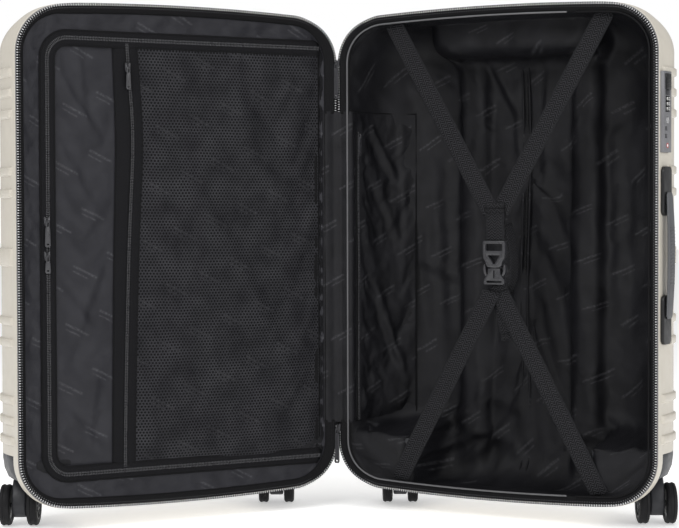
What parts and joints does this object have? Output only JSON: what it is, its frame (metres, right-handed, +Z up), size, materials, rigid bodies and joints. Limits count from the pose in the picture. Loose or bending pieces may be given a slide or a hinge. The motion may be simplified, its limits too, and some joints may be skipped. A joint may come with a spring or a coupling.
{
  "type": "hard shell suitcase on wheels",
  "caption": "Hard shell suitcase with ribbed halves, standing open on twin wheel casters, with zipped divider, crossed straps, lock and handles",
  "frame": {"origin": "on the floor under the middle of the open suitcase's box", "axes": "+X across the base half from its spine to its lock side, +Y out of the base half's back, +Z up"},
  "size_m": [0.7536, 0.5208, 0.647],
  "materials": {
    "shell_cream": "satin moulded cream polycarbonate",
    "zip_tape": "woven black zip tape with moulded teeth",
    "lining_nylon": "thin black nylon with a soft sheen",
    "mesh_fabric": "black knitted mesh",
    "webbing": "black herringbone webbing",
    "black_plastic": "moulded black plastic",
    "grey_plastic": "dark grey moulded plastic, fine grain",
    "dial_plastic": "dark dials with pale figures",
    "key_steel": "turned steel",
    "tube_aluminium": "anodised tube",
    "wheel_rubber": "dark polyurethane tread"
  },
  "bodies": {
    "base": {"base_shell": "shell_cream", "base_rim_zip": "zip_tape", "base_lining": "lining_nylon", "hinge_cover_base": "lining_nylon", "spine_pocket": "lining_nylon", "strap_upper_left": "webbing", "strap_upper_right": "webbing", "strap_lower_left": "webbing", "strap_lower_right": "webbing", "strap_joining_tab": "webbing", "buckle_socket": "black_plastic", "lock_body": "grey_plastic", "side_handle_cap_lower": "black_plastic", "side_handle_cap_upper": "black_plastic", "top_handle_cup": "black_plastic", "trolley_housing": "grey_plastic", "trolley_outer_tube_left": "tube_aluminium", "trolley_outer_tube_right": "tube_aluminium", "base_caster_housing_spine": "grey_plastic", "base_caster_housing_outer": "grey_plastic"},
    "lid": {"lid_shell": "shell_cream", "lid_rim_zip": "zip_tape", "lid_lining": "lining_nylon", "hinge_cover_lid": "lining_nylon", "lid_caster_housing_spine": "grey_plastic", "lid_caster_housing_outer": "grey_plastic"},
    "divider": {"divider_panel": "lining_nylon", "divider_mesh_pocket": "mesh_fabric"},
    "divider_slider_upper": {"divider_slider_upper": "black_plastic"},
    "divider_slider_lower": {"divider_slider_lower": "black_plastic"},
    "mesh_pocket_slider": {"mesh_pocket_slider": "black_plastic"},
    "spine_pocket_slider": {"spine_pocket_slider": "black_plastic"},
    "main_slider_upper": {"main_slider_upper": "black_plastic"},
    "main_slider_lower": {"main_slider_lower": "black_plastic"},
    "buckle_clip": {"buckle_clip": "black_plastic"},
    "trolley_middle": {"trolley_middle_tube_left": "tube_aluminium", "trolley_middle_tube_right": "tube_aluminium"},
    "trolley_inner": {"trolley_inner_tube_left": "tube_aluminium", "trolley_inner_tube_right": "tube_aluminium", "trolley_grip": "black_plastic"},
    "trolley_button": {"trolley_button": "grey_plastic"},
    "side_handle_grip": {"side_handle_grip": "grey_plastic"},
    "top_handle_grip": {"top_handle_grip": "grey_plastic"},
    "lock_dial_1": {"lock_dial_1": "dial_plastic"},
    "lock_dial_2": {"lock_dial_2": "dial_plastic"},
    "lock_dial_3": {"lock_dial_3": "dial_plastic"},
    "lock_key_cylinder": {"lock_key_cylinder": "key_steel"},
    "lock_release": {"lock_release": "black_plastic"},
    "base_caster_spine": {"base_caster_fork_spine": "grey_plastic"},
    "base_wheels_spine": {"base_wheel_spine_a": "wheel_rubber", "base_wheel_spine_b": "wheel_rubber"},
    "base_caster_outer": {"base_caster_fork_outer": "grey_plastic"},
    "base_wheels_outer": {"base_wheel_outer_a": "wheel_rubber", "base_wheel_outer_b": "wheel_rubber"},
    "lid_caster_spine": {"lid_caster_fork_spine": "grey_plastic"},
    "lid_wheels_spine": {"lid_wheel_spine_a": "wheel_rubber", "lid_wheel_spine_b": "wheel_rubber"},
    "lid_caster_outer": {"lid_caster_fork_outer": "grey_plastic"},
    "lid_wheels_outer": {"lid_wheel_outer_a": "wheel_rubber", "lid_wheel_outer_b": "wheel_rubber"}
  },
  "joints": [
    {"name": "lid_hinge", "type": "hinge", "parent": "base", "child": "lid", "pos_m": [-0.08039, 0.12944, 0.334], "axis": [0, 0, -1], "range_deg": [-119, 61]},
    {"name": "divider_hinge", "type": "hinge", "parent": "lid", "child": "divider", "pos_m": [-0.09946, 0.11257, 0.334], "axis": [0, 0, 1], "range_deg": [0, 100]},
    {"name": "divider_slider_upper_slide", "type": "slide", "parent": "lid", "child": "divider_slider_upper", "axis": [0, 0, 1], "range_m": [0, 0.185]},
    {"name": "divider_slider_lower_slide", "type": "slide", "parent": "lid", "child": "divider_slider_lower", "axis": [0, 0, -1], "range_m": [0, 0.22]},
    {"name": "mesh_pocket_slider_slide", "type": "slide", "parent": "divider", "child": "mesh_pocket_slider", "axis": [0, 0, -1], "range_m": [0, 0.42]},
    {"name": "spine_pocket_slider_slide", "type": "slide", "parent": "base", "child": "spine_pocket_slider", "axis": [0, 0, -1], "range_m": [0, 0.34]},
    {"name": "main_slider_upper_slide", "type": "slide", "parent": "base", "child": "main_slider_upper", "axis": [0, 0, 1], "range_m": [0, 0.01]},
    {"name": "main_slider_lower_slide", "type": "slide", "parent": "base", "child": "main_slider_lower", "axis": [0, 0, -1], "range_m": [0, 0.01]},
    {"name": "buckle_release", "type": "slide", "parent": "base", "child": "buckle_clip", "axis": [0, 0, -1], "range_m": [0, 0.03], "deforming": ["strap_lower_left", "strap_lower_right"]},
    {"name": "trolley_lower_stage", "type": "slide", "parent": "base", "child": "trolley_middle", "axis": [0, 0, 1], "range_m": [0, 0.195]},
    {"name": "trolley_upper_stage", "type": "slide", "parent": "trolley_middle", "child": "trolley_inner", "axis": [0, 0, 1], "range_m": [0, 0.195]},
    {"name": "trolley_button_press", "type": "slide", "parent": "trolley_inner", "child": "trolley_button", "axis": [0, 0, -1], "range_m": [0, 0.0025], "stiffness_N_per_m": 400},
    {"name": "side_handle_pull", "type": "slide", "parent": "base", "child": "side_handle_grip", "axis": [1, 0, 0], "range_m": [0, 0.01]},
    {"name": "top_handle_pull", "type": "slide", "parent": "base", "child": "top_handle_grip", "axis": [0, 0, 1], "range_m": [0, 0.012]},
    {"name": "lock_dial_1_turn", "type": "hinge", "parent": "base", "child": "lock_dial_1", "pos_m": [0.36641, 0.14594, 0.522], "axis": [0, 0, 1], "continuous": true},
    {"name": "lock_dial_2_turn", "type": "hinge", "parent": "base", "child": "lock_dial_2", "pos_m": [0.36641, 0.14594, 0.516], "axis": [0, 0, 1], "continuous": true},
    {"name": "lock_dial_3_turn", "type": "hinge", "parent": "base", "child": "lock_dial_3", "pos_m": [0.36641, 0.14594, 0.51], "axis": [0, 0, 1], "continuous": true},
    {"name": "lock_key_turn", "type": "hinge", "parent": "base", "child": "lock_key_cylinder", "pos_m": [0.36561, 0.14594, 0.4965], "axis": [1, 0, 0], "range_deg": [0, 90]},
    {"name": "lock_release_slide", "type": "slide", "parent": "base", "child": "lock_release", "axis": [0, 0, -1], "range_m": [0, 0.006], "stiffness_N_per_m": 200},
    {"name": "base_caster_spine_swivel", "type": "hinge", "parent": "base", "child": "base_caster_spine", "pos_m": [-0.03539, 0.21544, 0.07], "axis": [0, 0, 1], "continuous": true},
    {"name": "base_wheels_spine_spin", "type": "hinge", "parent": "base_caster_spine", "child": "base_wheels_spine", "pos_m": [-0.02778, 0.20252, 0.0255], "axis": [0.8616, 0.5075, 0], "continuous": true},
    {"name": "base_caster_outer_swivel", "type": "hinge", "parent": "base", "child": "base_caster_outer", "pos_m": [0.32661, 0.21544, 0.07], "axis": [0, 0, 1], "continuous": true},
    {"name": "base_wheels_outer_spin", "type": "hinge", "parent": "base_caster_outer", "child": "base_wheels_outer", "pos_m": [0.33422, 0.20252, 0.0255], "axis": [0.8616, 0.5075, 0], "continuous": true},
    {"name": "lid_caster_spine_swivel", "type": "hinge", "parent": "lid", "child": "lid_caster_spine", "pos_m": [-0.17742, 0.13178, 0.07], "axis": [0, 0, 1], "continuous": true},
    {"name": "lid_wheels_spine_spin", "type": "hinge", "parent": "lid_caster_spine", "child": "lid_wheels_spine", "pos_m": [-0.16981, 0.11886, 0.0255], "axis": [0.8616, 0.5075, 0], "continuous": true},
    {"name": "lid_caster_outer_swivel", "type": "hinge", "parent": "lid", "child": "lid_caster_outer", "pos_m": [-0.35293, -0.18483, 0.07], "axis": [0, 0, 1], "continuous": true},
    {"name": "lid_wheels_outer_spin", "type": "hinge", "parent": "lid_caster_outer", "child": "lid_wheels_outer", "pos_m": [-0.34531, -0.19776, 0.0255], "axis": [0.8616, 0.5075, 0], "continuous": true}
  ]
}
